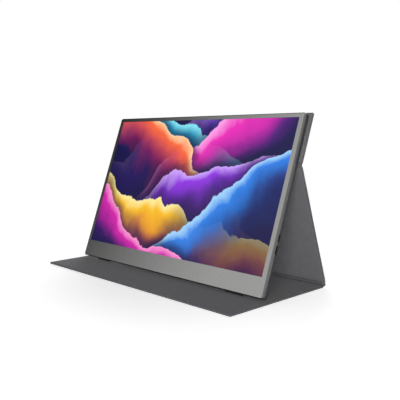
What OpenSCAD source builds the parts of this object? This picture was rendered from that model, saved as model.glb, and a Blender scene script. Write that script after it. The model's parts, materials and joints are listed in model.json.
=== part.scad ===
// Portable monitor held up by its folding cover.
// Units are millimetres. X runs across the screen, Y towards the back and Z up.
// The origin lies on the table, under the middle of the whole object.

/* [Picture] */
// Width of the lit picture
picture_w = 344.2; // [280:0.1:420]
// Height of the lit picture
picture_h = 193.6; // [160:0.1:240]
// Bezel beside the picture
bezel_side = 7.6; // [6.5:0.1:14]
// Bezel above the picture
bezel_top = 6.0; // [4.8:0.1:14]
// Chin below the picture
chin_h = 24.5; // [22:0.1:40]

/* [Monitor case] */
// Thickness of the monitor
monitor_t = 8.5; // [8.5:0.1:12]
// Depth at which the front frame meets the rear shell
seam_z = 4.0; // [3.8:0.1:4.6]
// Gap at that seam
seam_gap = 0.12; // [0.05:0.01:0.3]
// Corner radius of the case, seen from the front
case_r = 3; // [2.5:0.1:8]
// Slanted edge round the front face
front_chamfer = 1.3; // [0.5:0.1:2]
// Rounding of the rear edges
rear_r = 1.4; // [0.8:0.1:2]
// Sheet thickness of the front frame over the panel
frame_t = 0.7; // [0.5:0.05:1]
// Wall of the front frame at its sides
frame_wall = 1.2; // [1:0.1:2]
// Side wall of the rear shell
shell_wall = 1.4; // [1:0.1:2]
// Back wall of the rear shell
shell_back = 1.0; // [0.8:0.1:1.6]

/* [Cover] */
// Thickness of a boarded cover panel
cover_t = 2.4; // [2:0.1:4]
// Thickness of the outer leathercloth
skin_t = 0.6; // [0.4:0.05:1]
// Thickness of the microfibre lining
lining_t = 0.5; // [0.3:0.05:1]
// Width of the turned edge round each panel
hem_w = 1.2; // [0.8:0.1:3]
// How far the cover stands out beside the monitor
cover_side = 4.5; // [1:0.05:10]
// How far the cover stands out above the monitor
cover_top = 2.7; // [1:0.1:10]
// Apron in front of the monitor's lower edge
apron_l = 57.3; // [30:0.1:90]
// Free strip between two boards at a crease
crease_w = 3.0; // [2.4:0.1:6]
// Corner radius of the cover
cover_r = 2; // [1.3:0.1:8]
// Slant of the leathercloth over the boards' outer edges
edge_cut = 0.5; // [0.2:0.1:0.8]

/* [Stand] */
// Lean of the screen back from upright, in degrees
screen_tilt = 20.1; // [12:0.1:28]
// Lean of the strut forward from upright, in degrees
strut_lean = 19.6; // [12:0.1:28]
// Height of the fold line, measured up the monitor
fold_up = 161.6; // [120:0.1:190]
// Height of the strut's lower edge above the floor flap
strut_lift = 2.9; // [1.5:0.1:6]
// How far the floor flap ends in front of the strut's lower edge
flap_inset = 4.1; // [3:0.1:8]
// Gap between the monitor's back and the attach panel
mate_gap = 0.2; // [0.1:0.05:0.5]

/* [Feet] */
// Length of a rubber foot
foot_l = 28; // [12:1:60]
// Width of a rubber foot
foot_w = 2.6; // [2:0.1:3]
// Height of a rubber foot below the case
foot_h = 1.6; // [0.8:0.1:2.5]
// Depth of the pocket that a foot is stuck into
foot_pocket = 0.4; // [0.2:0.05:0.8]
// Distance between the two feet
foot_span = 266; // [120:1:300]
// Gap between the feet and the floor flap
foot_gap = 0.35; // [0.2:0.05:0.6]

/* [Sockets and buttons] */
// Depth of the socket row behind the front face
socket_z = 4.9; // [4.8:0.05:5.2]
// Height of the small round-ended socket up the case
usb_up = 71.8; // [60:0.1:100]
// Height of the wide socket up the case
hdmi_up = 57.9; // [44:0.1:80]
// Height of the power button up the case
power_up = 72; // [60:0.5:100]
// Height of the menu rocker up the case
rocker_up = 55; // [46:0.5:80]
// Height of the headphone socket up the case
jack_up = 38; // [32:0.5:60]
// Bore of the headphone socket
jack_bore = 3.6; // [3.5:0.05:4]
// Travel of the power button
button_travel = 0.4; // [0.2:0.05:0.6]

/* [Hidden] */

// Overall sizes that follow from the picture and its borders
monitor_w = picture_w + 2 * bezel_side;
monitor_h = picture_h + chin_h + bezel_top;
cover_w = monitor_w + 2 * cover_side;
side_x = monitor_w / 2;

// Side view of the stand: places are [y, z] pairs, before the shift that centres the object
function along(angle, l) = [l * sin(angle), l * cos(angle)];
axis_depth = monitor_t + mate_gap + cover_t / 2;
foot_z_mid = seam_z + seam_gap / 2 + 0.3 + foot_w / 2;
foot_low_depth = foot_z_mid + foot_w / 2;
monitor_rise = cover_t + foot_gap + foot_h * cos(screen_tilt) + foot_low_depth * sin(screen_tilt);
monitor_at = [0, monitor_rise];
fold_at = monitor_at + along(screen_tilt, fold_up) + along(90 + screen_tilt, axis_depth);
strut_l = (fold_at[1] - cover_t - strut_lift) / cos(strut_lean) - cover_t / 2 * tan(strut_lean);
strut_end = fold_at - along(-strut_lean, strut_l);
strut_corner = strut_end + along(90 - strut_lean, cover_t / 2);
flap_front = -apron_l;
flap_rear = strut_corner[0] - flap_inset;
flap_l = flap_rear - flap_front;
shift_y = -(flap_front + strut_corner[0]) / 2;
attach_l = monitor_h + cover_top - fold_up - crease_w / 2;
strut_panel_l = strut_l - crease_w / 2;

// Depths inside the monitor, from the front face back
glue_gap = 0.05;
gasket_t = 0.1;
glass_z = frame_t + gasket_t;
glass_t = 0.9;
film_t = 0.08;
film_count = 3;
films_z = glass_z + glass_t + glue_gap;
guide_z = films_z + film_count * (film_t + 0.02) + glue_gap;
guide_t = 0.5;
reflector_z = guide_z + guide_t + glue_gap;
reflector_t = 0.1;
chassis_z = reflector_z + reflector_t + glue_gap;
chassis_t = 0.3;
chassis_back = chassis_z + chassis_t;
inner_back = monitor_t - shell_back;

// Outline of the display panel round the picture
panel_side = 3.0;
panel_top = 2.5;
panel_bottom = 6.4;
tray_wall = 0.3;

// Circuit boards
board_t = 0.7;
board_z = socket_z + 1.65;
board_pad = inner_back - board_z - board_t;
board_w = 108;
board_h = 46;
board_x = side_x - shell_wall - 2.4 - board_w;
board_y = 44;
screw_d = 1.6;
screw_head_d = 3.2;
screw_head_t = 0.6;
screw_bite = 0.4;
screw_inset = 4;
button_board_w = 12;
button_board_h = 36;
button_board_y = rocker_up - 9;
button_board_x = -side_x + shell_wall + 1.4;

// Sockets
mouth_inset = 0.5;
mouth_gap = 0.3;
usb_w = 8.94;
usb_h = 3.26;
usb_depth = 7.4;
socket_sheet = 0.3;
usb_tongue_t = 0.7;
hdmi_w = 11.2;
hdmi_h = 3.2;
hdmi_depth = 7.6;
hdmi_skirt = 1.4;
jack_w = 6;
jack_t = 4.2;
jack_depth = 12;
jack_mid = inner_back - 0.1 - jack_t / 2;

// Buttons
button_l = 10;
rocker_l = 13;
button_h = 2.8;
button_proud = 0.5;
button_gap = 0.15;
button_mid = 5.6;
switch_depth = 2.0;
switch_w = 4.2;
switch_tall = 2.6;
rocker_swing_gap = 0.35;

// Speakers and grilles
speaker_w = 42;
speaker_h = 13;
speaker_t = 3.0;
speaker_inset = 61.7;
speaker_x = side_x - speaker_inset;
speaker_y = 4.2;
grille_slots = 9;
grille_pitch = 3.2;
grille_slot_w = 1.2;
grille_slot_l = 7;

// Magnets
magnet_w = 40;
magnet_h = 9;
magnet_t = 1.1;
magnet_count = 5;
magnet_pitch = 72;
magnet_low = 12;
magnet_high = 16;
magnet_room = monitor_h - fold_up - magnet_low - magnet_high;
// Two rows where the attach panel has room for them, else one in its middle
magnet_rows = magnet_room > magnet_h + 1
    ? [fold_up + magnet_low, monitor_h - magnet_high]
    : [(fold_up + monitor_h + magnet_low - magnet_high) / 2];

// Snap hooks of the front frame and the pockets that they catch in
hook_w = 8;
hook_t = 0.8;
hook_reach = 1.9;
hook_gap = 0.1;
barb = 0.45;
barb_flat = 0.25;
catch_gap = 0.08;

// ---------- placing ----------

// Stands a flat part up: its X, Y and Z become across, up and back
module stood() {
    mirror([0, 1, 0]) rotate([90, 0, 0]) children();
}

module at_yz(place) {
    translate([0, place[0] + shift_y, place[1]]) children();
}

// Monitor parts: X across, Y up the screen from its lower edge, Z back from the front face
module on_monitor() {
    at_yz(monitor_at) rotate([-screen_tilt, 0, 0]) stood() children();
}

// Attach panel parts: Y up from its lower edge, Z from the lining to the outer face
module on_attach() {
    at_yz(fold_at) rotate([-screen_tilt, 0, 0]) stood()
        translate([0, crease_w / 2, -cover_t / 2]) children();
}

// Strut parts: Y down from the upper edge, Z from the lining to the outer face
module on_strut() {
    at_yz(fold_at) rotate([strut_lean, 0, 0]) stood()
        translate([0, -crease_w / 2, -cover_t / 2]) mirror([0, 1, 0]) children();
}

// Floor flap parts: Y forward from the rear edge, Z from the lining down to the outer face
module on_flap() {
    at_yz([flap_rear, cover_t]) rotate([180, 0, 0]) children();
}

// ---------- shared shapes ----------

// Rectangle with round corners, centred on X and standing on the X axis
module rounded_rect(w, h, r) {
    translate([0, h / 2]) {
        square([w - 2 * r, h], center = true);
        square([w, h - 2 * r], center = true);
        for (x = [-1, 1], y = [-1, 1])
            translate([x * (w / 2 - r), y * (h / 2 - r)]) circle(r = r, $fn = 48);
    }
}

module slab(w, h, t, r) {
    linear_extrude(t) rounded_rect(w, h, r);
}

// Outline with a half circle at each end, long side along Y
module pill(l, w) {
    square([w, l - w], center = true);
    for (y = [-1, 1]) translate([0, y * (l - w) / 2]) circle(d = w, $fn = 40);
}

// Slab whose rim follows a profile; its child is that profile, in X from 0 to r
module rimmed_slab(w, h, t, r) {
    for (x = [-1, 1], y = [-1, 1])
        translate([x * (w / 2 - r), h / 2 + y * (h / 2 - r), 0]) rotate_extrude($fn = 64) children();
    for (x = [-1, 1])
        translate([x * (w / 2 - r), h / 2, 0]) rotate([90, 0, 0])
            linear_extrude(h - 2 * r, center = true) mirror([x < 0 ? 1 : 0, 0]) children();
    for (y = [-1, 1])
        translate([0, h / 2 + y * (h / 2 - r), 0]) rotate([90, 0, 90])
            linear_extrude(w - 2 * r, center = true) mirror([y < 0 ? 1 : 0, 0]) children();
    translate([-w / 2 + r, r, 0]) cube([w - 2 * r, h - 2 * r, t]);
}

module chamfered_rim(r, t, c) {
    polygon([[0, 0], [r - c, 0], [r, c], [r, t], [0, t]]);
}

module rounded_rim(r, t, round_r) {
    square([r - round_r, t]);
    square([r, t - round_r]);
    translate([r - round_r, t - round_r]) intersection() {
        circle(r = round_r, $fn = 48);
        square(round_r);
    }
}

// Place on a smooth curve that leaves a towards b and comes into d from c, and its direction there
function curve_at(a, b, c, d, u) =
    a * pow(1 - u, 3) + b * 3 * u * pow(1 - u, 2) + c * 3 * u * u * (1 - u) + d * pow(u, 3);
function curve_way(a, b, c, d, u) =
    (b - a) * pow(1 - u, 2) + (c - b) * 2 * u * (1 - u) + (d - c) * u * u;

// Soft strip in the YZ plane along such a curve, w long in X; thick at its ends and thin between
module soft_strip(a, b, c, d, end_t, mid_t, w) {
    steps = 20;
    side = [for (s = [1, -1]) [for (i = [0 : steps])
        let (
            u = i / steps,
            way = curve_way(a, b, c, d, u),
            half = (mid_t + (end_t - mid_t) * pow(abs(2 * u - 1), 3)) / 2
        ) curve_at(a, b, c, d, u) + s * half * [-way[1], way[0]] / norm(way)]];
    translate([0, shift_y, 0]) rotate([90, 0, 90]) linear_extrude(w, center = true)
        polygon(concat(side[0], [for (i = [steps : -1 : 0]) side[1][i]]));
}

// Moves a shape that looks along +Z so that it looks out of the monitor's side wall
module out_of_side(side, up, depth_z) {
    translate([side * side_x, up, depth_z]) rotate([0, side * 90, 0]) children();
}

// ---------- sockets cut through both halves of the case ----------

module hdmi_outline(grow) {
    w = hdmi_w + 2 * grow;
    h = hdmi_h + 2 * grow;
    skirt = hdmi_skirt;
    polygon([
        [-h / 2, -w / 2 + skirt], [-h / 2 + skirt, -w / 2], [h / 2, -w / 2],
        [h / 2, w / 2], [-h / 2 + skirt, w / 2], [-h / 2, w / 2 - skirt]
    ]);
}

module side_cuts() {
    deep = 2 * shell_wall;
    out_of_side(1, usb_up, socket_z) translate([0, 0, -deep])
        linear_extrude(2 * deep) pill(usb_w + 2 * mouth_gap, usb_h + 2 * mouth_gap);
    out_of_side(1, hdmi_up, socket_z) translate([0, 0, -deep])
        linear_extrude(2 * deep) mirror([1, 0]) hdmi_outline(mouth_gap);
    out_of_side(-1, power_up, button_mid) translate([0, 0, -deep])
        linear_extrude(2 * deep) pill(button_l + 2 * button_gap, button_h + 2 * button_gap);
    out_of_side(-1, rocker_up, button_mid) translate([0, 0, -deep])
        linear_extrude(2 * deep) pill(rocker_l + 2 * rocker_swing_gap, button_h + 2 * button_gap);
    out_of_side(-1, jack_up, jack_mid) translate([0, 0, -deep])
        cylinder(d = jack_bore + 0.8, h = 2 * deep, $fn = 48);
}

// ---------- monitor case ----------

// Places of the snap hooks along each side of the case
hook_xs = [for (i = [-2 : 2]) i * (monitor_w - 60) / 4];
hook_ys = [monitor_h * 0.55, monitor_h * 0.75, monitor_h - 14];

// Puts a shape at every hook: X along the edge, Y inwards from it, Z depth
module at_hooks() {
    for (x = hook_xs) {
        translate([x, 0, 0]) children();
        translate([x, monitor_h, 0]) mirror([0, 1, 0]) children();
    }
    for (y = hook_ys, side = [-1, 1])
        translate([side * side_x, y, 0]) rotate([0, 0, side * 90]) children();
}

// Blade that springs inwards, with a barb that points at the wall
module hook() {
    seam = seam_z - seam_gap / 2;
    face = shell_wall + hook_gap;
    end = seam + hook_reach;
    translate([-hook_w / 2, frame_wall - 0.05, frame_t])
        cube([hook_w, face + hook_t - frame_wall + 0.05, seam - frame_t]);
    translate([-hook_w / 2, 0, 0]) rotate([90, 0, 90]) linear_extrude(hook_w) polygon([
        [face + hook_t, frame_t], [face + hook_t, end - barb], [face + hook_t - barb, end], [face, end],
        [face - barb, end - barb], [face - barb, end - barb - barb_flat], [face, end - 2 * barb - barb_flat],
        [face, frame_t]
    ]);
}

// Pocket in the wall that a barb snaps into
module hook_pocket() {
    seam = seam_z - seam_gap / 2;
    end = seam + hook_reach;
    deep = barb - hook_gap + catch_gap;
    translate([-hook_w / 2 - 0.2, shell_wall - deep, end - 2 * barb - barb_flat - catch_gap])
        cube([hook_w + 0.4, deep + 0.1, 2 * barb + barb_flat + 2 * catch_gap]);
}

module front_frame() {
    depth = seam_z - seam_gap / 2;
    color("#8f8f8e") on_monitor() difference() {
        union() {
            difference() {
                rimmed_slab(monitor_w, monitor_h, depth, case_r) chamfered_rim(case_r, depth, front_chamfer);
                translate([0, frame_wall, frame_t])
                    slab(monitor_w - 2 * frame_wall, monitor_h - 2 * frame_wall, depth, case_r - frame_wall);
                translate([0, chin_h, -1]) slab(picture_w, picture_h, depth, 0.3);
            }
            at_hooks() hook();
        }
        side_cuts();
    }
}

module speaker_grille(side) {
    translate([side * speaker_x, speaker_y + speaker_h / 2, inner_back - 0.5])
        for (i = [0 : grille_slots - 1])
            translate([(i - (grille_slots - 1) / 2) * grille_pitch, 0, 0])
                linear_extrude(shell_back + 1) pill(grille_slot_l, grille_slot_w);
}

screw_places = [
    for (x = [screw_inset, board_w - screw_inset], y = [screw_inset, board_h - screw_inset])
        [board_x + x, board_y + y]
];

// Bosses under the button board, one at each end
button_seats = [
    for (y = [4, button_board_h - 4]) [button_board_x + button_board_w / 2, button_board_y + y]
];

module rear_ribs() {
    rib_t = 0.8;
    rib_h = 0.6;
    for (x = [-130, -65, 0])
        translate([x - rib_t / 2, board_y + board_h + 8, inner_back - rib_h])
            cube([rib_t, fold_up - board_y - board_h - 10, rib_h]);
    for (y = [board_y + board_h + 8, fold_up - 3])
        translate([-side_x + 12, y, inner_back - rib_h]) cube([monitor_w - 24, rib_t, rib_h]);
}

module rear_shell() {
    start = seam_z + seam_gap / 2;
    depth = monitor_t - start;
    inner_w = monitor_w - 2 * shell_wall;
    inner_h = monitor_h - 2 * shell_wall;
    color("#3c3d40") on_monitor() difference() {
        union() {
            difference() {
                translate([0, 0, start])
                    rimmed_slab(monitor_w, monitor_h, depth, case_r) rounded_rim(case_r, depth, rear_r);
                translate([0, shell_wall, start - 1])
                    slab(inner_w, inner_h, depth + 1 - shell_back, case_r - shell_wall);
            }
            rear_ribs();
            for (p = concat(screw_places, button_seats))
                translate([p[0], p[1], inner_back - board_pad]) cylinder(d = 4, h = board_pad, $fn = 32);
            for (side = [-1, 1]) speaker_wall(side);
        }
        for (p = screw_places)
            translate([p[0], p[1], inner_back - board_pad - 1])
                cylinder(d = screw_d + 0.1, h = board_pad + 1 + screw_bite + 0.1, $fn = 24);
        for (side = [-1, 1]) speaker_grille(side);
        for (side = [-1, 1])
            translate([side * foot_span / 2, foot_pocket, foot_z_mid]) rotate([90, 0, 0])
                linear_extrude(2) rotate(90) pill(foot_l + 0.1, foot_w + 0.1);
        vent_slots();
        at_hooks() hook_pocket();
        side_cuts();
    }
}

// Low wall that holds a speaker in place
module speaker_wall(side) {
    wall = 0.8;
    gap = 0.15;
    tall = 1.2;
    translate([side * speaker_x, speaker_y - gap - wall, inner_back - tall]) difference() {
        slab(speaker_w + 2 * (gap + wall), speaker_h + 2 * (gap + wall), tall, 1.5);
        translate([0, wall, -1]) slab(speaker_w + 2 * gap, speaker_h + 2 * gap, tall + 1, 1);
    }
}

// Row of slots that lets warm air out behind the main board
module vent_slots() {
    slots = 14;
    pitch = 5;
    slot_l = 9;
    slot_w = 1.4;
    translate([board_x + board_w / 2, board_y + board_h + 20, inner_back - 0.5])
        for (i = [0 : slots - 1])
            translate([(i - (slots - 1) / 2) * pitch, 0, 0])
                linear_extrude(shell_back + 1) pill(slot_l, slot_w);
}

module rubber_feet() {
    color("#1c1c1d") on_monitor() for (side = [-1, 1])
        translate([side * foot_span / 2, foot_pocket, foot_z_mid]) rotate([90, 0, 0])
            linear_extrude(foot_h + foot_pocket) rotate(90) pill(foot_l, foot_w);
}

// ---------- display panel ----------

module panel_plate(grow_side, grow_top, grow_bottom, z, t) {
    translate([0, chin_h - grow_bottom, z])
        slab(picture_w + 2 * grow_side, picture_h + grow_top + grow_bottom, t, 0.5);
}

module screen_gasket() {
    color("#141415") on_monitor() difference() {
        panel_plate(panel_side - 0.4, panel_top - 0.4, 4, frame_t, gasket_t);
        panel_plate(0.8, 0.8, 0.8, frame_t - 1, 2);
    }
}

module lcd_glass() {
    color("#2b1f52") on_monitor()
        panel_plate(panel_side - 0.4, panel_top - 0.4, panel_bottom - 0.4, glass_z, glass_t);
}

module diffuser_films() {
    color("#f2f4f5") on_monitor() for (i = [0 : film_count - 1])
        panel_plate(panel_side - 0.6, panel_top - 0.6, 0.6, films_z + i * (film_t + 0.02), film_t);
}

module light_guide() {
    color("#dfeaf0") on_monitor() panel_plate(panel_side - 0.6, panel_top - 0.6, 0.6, guide_z, guide_t);
}

module reflector_sheet() {
    color("#f7f7f7") on_monitor()
        panel_plate(panel_side - 0.6, panel_top - 0.6, panel_bottom - 0.8, reflector_z, reflector_t);
}

// Lamps that shine up into the lower edge of the light guide
module led_strip() {
    lamp_w = 3;
    lamp_h = 0.9;
    lamp_count = 42;
    strip_h = 2.4;
    lamp_pitch = (picture_w - 10) / (lamp_count - 1);
    color("#e9e6d8") on_monitor() translate([0, chin_h - 0.8 - lamp_h - strip_h, guide_z]) {
        translate([-picture_w / 2, 0, 0]) cube([picture_w, strip_h, guide_t]);
        for (i = [0 : lamp_count - 1])
            translate([(i - (lamp_count - 1) / 2) * lamp_pitch - lamp_w / 2, strip_h, 0])
                cube([lamp_w, lamp_h, guide_t]);
    }
}

module panel_chassis() {
    window_h = 44;
    window_w = picture_w / 2 - 40;
    color("#9a9da0") on_monitor() difference() {
        panel_plate(panel_side, panel_top, panel_bottom, glass_z, chassis_back - glass_z);
        panel_plate(panel_side - tray_wall, panel_top - tray_wall, panel_bottom - tray_wall,
            glass_z - 1, chassis_z - glass_z + 1);
        // Stamped windows that lighten the tray
        for (x = [-1, 1], y = [0.3, 0.72])
            translate([x * picture_w / 4, chin_h + picture_h * y - window_h / 2, chassis_z - 1])
                slab(window_w, window_h, 2, 6);
    }
}

// Driver board that lies in the chin, under the panel
module panel_board() {
    color("#2f5d45") on_monitor() translate([0, 5.4, glass_z + 0.2]) {
        slab(290, 10.5, 0.6, 1);
        for (i = [-5 : 5]) translate([i * 26, 3, 0.6]) slab(14, 4.4, 0.8, 0.4);
    }
}

// ---------- circuit boards ----------

module main_board() {
    edge_x = board_x + board_w;
    color("#2c6148") on_monitor() difference() {
        translate([board_x + board_w / 2, board_y, board_z]) slab(board_w, board_h, board_t, 1.5);
        for (p = screw_places)
            translate([p[0], p[1], board_z - 1]) cylinder(d = screw_d + 0.4, h = 3, $fn = 24);
        translate([edge_x, board_y + board_h / 2, board_z - 1]) cylinder(d = 3, h = 3, $fn = 24);
    }
}

// Chips, coils and connectors, each standing on the main board
module board_chips() {
    chips = [
        [34, 22, 14, 14, 1.0], [58, 26, 10, 8, 0.9], [58, 11, 7, 7, 0.8], [78, 30, 6, 6, 1.6],
        [78, 19, 6, 6, 1.6], [12, 24, 5, 12, 1.2], [34, 8, 8, 5, 0.9], [90, 38, 4, 4, 1.2]
    ];
    color("#232427") on_monitor() for (c = chips)
        translate([board_x + c[0], board_y + c[1] - c[3] / 2, board_z - c[4]]) slab(c[2], c[3], c[4], 0.3);
}

module board_screws() {
    color("#b9bcc0") on_monitor() for (p = screw_places) translate([p[0], p[1], board_z]) {
        translate([0, 0, -screw_head_t]) difference() {
            cylinder(d = screw_head_d, h = screw_head_t, $fn = 32);
            for (turn = [0, 90]) rotate(turn) translate([-0.9, -0.2, -1]) cube([1.8, 0.4, 1.3]);
        }
        cylinder(d = screw_d, h = board_t + board_pad + screw_bite, $fn = 24);
    }
}

module usb_c_socket() {
    tongue_w = usb_w - 2.3;
    start = -mouth_inset - usb_depth;
    color("#c9ccd0") on_monitor() out_of_side(1, usb_up, socket_z) translate([0, 0, start]) {
        difference() {
            linear_extrude(usb_depth) pill(usb_w, usb_h);
            translate([0, 0, 0.8])
                linear_extrude(usb_depth) pill(usb_w - 2 * socket_sheet, usb_h - 2 * socket_sheet);
        }
        translate([-usb_tongue_t / 2, -tongue_w / 2, 0.7]) cube([usb_tongue_t, tongue_w, usb_depth - 1.6]);
    }
}

module mini_hdmi_socket() {
    tongue_t = 0.6;
    tongue_w = hdmi_w - 3;
    start = -mouth_inset - hdmi_depth;
    color("#c4c7cb") on_monitor() out_of_side(1, hdmi_up, socket_z) translate([0, 0, start]) {
        difference() {
            linear_extrude(hdmi_depth) mirror([1, 0]) hdmi_outline(0);
            translate([0, 0, 0.8]) linear_extrude(hdmi_depth) mirror([1, 0]) hdmi_outline(-socket_sheet);
        }
        translate([-tongue_t / 2, -tongue_w / 2, 0.7]) cube([tongue_t, tongue_w, hdmi_depth - 1.8]);
    }
}

module headphone_jack() {
    start = -shell_wall - 0.1 - jack_depth;
    color("#2a2b2d") on_monitor() out_of_side(-1, jack_up, jack_mid) translate([0, 0, start]) difference() {
        union() {
            translate([-jack_t / 2, -jack_w / 2, 0]) cube([jack_t, jack_w, jack_depth]);
            cylinder(d = jack_bore + 0.6, h = jack_depth + shell_wall - 0.2, $fn = 48);
        }
        translate([0, 0, 1]) cylinder(d = jack_bore, h = jack_depth + 5, $fn = 48);
    }
}

module button_board() {
    color("#2c6148") on_monitor() translate([button_board_x + button_board_w / 2, button_board_y, board_z])
        slab(button_board_w, button_board_h, board_t, 1);
}

// One switch behind the power button and one behind each end of the rocker
switch_ups = [power_up, rocker_up - rocker_l / 4, rocker_up + rocker_l / 4];
cap_depth = shell_wall + 0.8;

module tact_switches() {
    color("#3a3b3e") on_monitor() for (up = switch_ups)
        out_of_side(-1, up, button_mid) translate([0, 0, -cap_depth - button_travel - 0.1 - switch_depth]) {
            translate([board_z - button_mid - switch_tall, -switch_w / 2, 0])
                cube([switch_tall, switch_w, switch_depth - 0.4]);
            cylinder(d = 1.6, h = switch_depth, $fn = 32);
        }
}

// Cap with a wider foot inside the wall, so that it cannot fall out
module button_cap(l, wall_gap) {
    flange = 0.5;
    neck = shell_wall + wall_gap;
    translate([0, 0, -cap_depth]) linear_extrude(cap_depth - neck) pill(l + 2 * flange, button_h + flange);
    translate([0, 0, -neck]) linear_extrude(neck + button_proud - 0.2) pill(l, button_h);
    translate([0, 0, button_proud - 0.2]) linear_extrude(0.2) pill(l - 0.4, button_h - 0.4);
}

module power_button() {
    color("#47484b") on_monitor() out_of_side(-1, power_up, button_mid) button_cap(button_l, 0.1);
}

module menu_rocker() {
    groove_r = 3;
    groove_sink = 0.4;
    color("#47484b") on_monitor() out_of_side(-1, rocker_up, button_mid) difference() {
        button_cap(rocker_l, rocker_swing_gap);
        // Thumb groove across the middle
        translate([0, 0, button_proud + groove_r - groove_sink]) rotate([0, 90, 0])
            cylinder(r = groove_r, h = 2 * button_h, center = true, $fn = 64);
    }
}

// Box speaker whose racetrack cone faces its grille
module speaker(side) {
    sink = 0.7;
    cone_l = speaker_w - 12;
    cone_w = speaker_h - 3;
    color("#202123") on_monitor() translate([side * speaker_x, speaker_y, inner_back - 0.1 - speaker_t]) {
        difference() {
            slab(speaker_w, speaker_h, speaker_t, 1);
            translate([0, speaker_h / 2, speaker_t - sink]) linear_extrude(1) rotate(90) pill(cone_l, cone_w);
        }
        translate([0, speaker_h / 2, speaker_t - sink]) {
            linear_extrude(0.25) rotate(90) difference() {
                pill(cone_l - 1.6, cone_w - 1.6);
                pill(cone_l - 3.4, cone_w - 3.4);
            }
            linear_extrude(0.4) rotate(90) pill(cone_l / 2, cone_w / 2.5);
        }
    }
}

module left_speaker() {
    speaker(-1);
}

module right_speaker() {
    speaker(1);
}

// Flat ribbon from the main board down behind the panel to the driver board
module display_ribbon() {
    ribbon_t = 0.3;
    ribbon_w = 12;
    ribbon_x = board_x + 20;
    low_y = 7;
    front = glass_z + 1.7;
    back = board_z - 1.3;
    plug_y = board_y + 1;
    plug_h = 4;
    color("#b98f3e") on_monitor() translate([ribbon_x - ribbon_w / 2, 0, 0]) {
        translate([0, low_y, front]) cube([ribbon_w, 7, ribbon_t]);
        translate([0, low_y, front]) cube([ribbon_w, ribbon_t, back - front]);
        translate([0, low_y, back]) cube([ribbon_w, plug_y + plug_h - low_y, ribbon_t]);
        translate([-1, plug_y, back + ribbon_t]) cube([ribbon_w + 2, plug_h, board_z - back - ribbon_t]);
    }
}

// Thin ribbon from the button board across to the main board
module button_ribbon() {
    run_y = board_y + 8;
    start = button_board_x + button_board_w - 4;
    color("#d0d2d4") on_monitor() translate([start, run_y, board_z - 0.5])
        cube([board_x + 6 - start, 5, 0.4]);
}

module magnet_set(t) {
    for (i = [-(magnet_count - 1) / 2 : (magnet_count - 1) / 2], y = magnet_rows)
        translate([i * magnet_pitch, y - magnet_h / 2, 0]) slab(magnet_w, magnet_h, t, 0.8);
}

module catch_magnets() {
    color("#aeb1b5") on_monitor() translate([0, 0, inner_back - magnet_t]) magnet_set(magnet_t);
}

// ---------- cover ----------

// Leathercloth tray: outer face and turned edge; l is measured along the panel
module cover_skin(l) {
    r = cover_r;
    t = cover_t;
    difference() {
        rimmed_slab(cover_w, l, t, r) polygon([[0, 0], [r, 0], [r, t - edge_cut], [r - edge_cut, t], [0, t]]);
        translate([0, hem_w, -1]) slab(cover_w - 2 * hem_w, l - 2 * hem_w, cover_t - skin_t + 1, 0.5);
    }
}

// Sheet that lies inside the turned edge
module cover_sheet(l, z, t) {
    inset = hem_w + glue_gap;
    translate([0, inset, z]) slab(cover_w - 2 * inset, l - 2 * inset, t, 0.5);
}

board_from = lining_t + 0.02;
board_thick = cover_t - skin_t - lining_t - 0.04;

module attach_skin() {
    color("#57575c") on_attach() cover_skin(attach_l);
}

module attach_magnet_places(t) {
    translate([0, -fold_up - crease_w / 2, 0]) magnet_set(t);
}

module attach_board() {
    color("#8b8170") on_attach() difference() {
        cover_sheet(attach_l, board_from, board_thick);
        for (i = [-(magnet_count - 1) / 2 : (magnet_count - 1) / 2], y = magnet_rows)
            translate([i * magnet_pitch, y - magnet_h / 2 - 0.1 - fold_up - crease_w / 2, -1])
                slab(magnet_w + 0.2, magnet_h + 0.2, 5, 0.9);
    }
}

module attach_lining() {
    color("#5f5f64") on_attach() cover_sheet(attach_l, 0, lining_t);
}

module attach_magnets() {
    color("#aeb1b5") on_attach() translate([0, 0, board_from]) attach_magnet_places(magnet_t);
}

module strut_skin() {
    color("#57575c") on_strut() cover_skin(strut_panel_l);
}

module strut_board() {
    color("#8b8170") on_strut() cover_sheet(strut_panel_l, board_from, board_thick);
}

module strut_lining() {
    color("#5f5f64") on_strut() cover_sheet(strut_panel_l, 0, lining_t);
}

module flap_skin() {
    color("#57575c") on_flap() cover_skin(flap_l);
}

module flap_board() {
    color("#8b8170") on_flap() cover_sheet(flap_l, board_from, board_thick);
}

module flap_lining() {
    color("#5f5f64") on_flap() cover_sheet(flap_l, 0, lining_t);
}

// Leathercloth and lining stuck together, without a board
crease_t = skin_t + lining_t;
crease_end = crease_w / 2 - glue_gap;

module top_crease() {
    low = fold_at - along(-strut_lean, crease_end);
    high = fold_at + along(screen_tilt, crease_end);
    color("#4c4c50") soft_strip(low, (low + fold_at * 2) / 3, (high + fold_at * 2) / 3, high,
        cover_t - 0.3, crease_t, cover_w - 0.6);
}

// Soft strip that tucks in between the strut's foot and the floor flap
module rear_gusset() {
    start = strut_end - along(-strut_lean, glue_gap);
    low = [flap_rear - 2, cover_t + glue_gap + crease_t / 2];
    color("#4c4c50") soft_strip(start, start - along(-strut_lean, 1.6), low + [3, 0], low,
        crease_t, crease_t, cover_w - 0.6);
}

front_frame();
rear_shell();
screen_gasket();
lcd_glass();
diffuser_films();
light_guide();
reflector_sheet();
led_strip();
panel_chassis();
panel_board();
main_board();
board_chips();
board_screws();
usb_c_socket();
mini_hdmi_socket();
headphone_jack();
button_board();
tact_switches();
power_button();
menu_rocker();
left_speaker();
right_speaker();
display_ribbon();
button_ribbon();
catch_magnets();
rubber_feet();
attach_skin();
attach_board();
attach_lining();
attach_magnets();
top_crease();
strut_skin();
strut_board();
strut_lining();
rear_gusset();
flap_skin();
flap_board();
flap_lining();
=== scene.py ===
import bmesh
import bpy
import json
import math
from mathutils import Matrix, Vector


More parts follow.
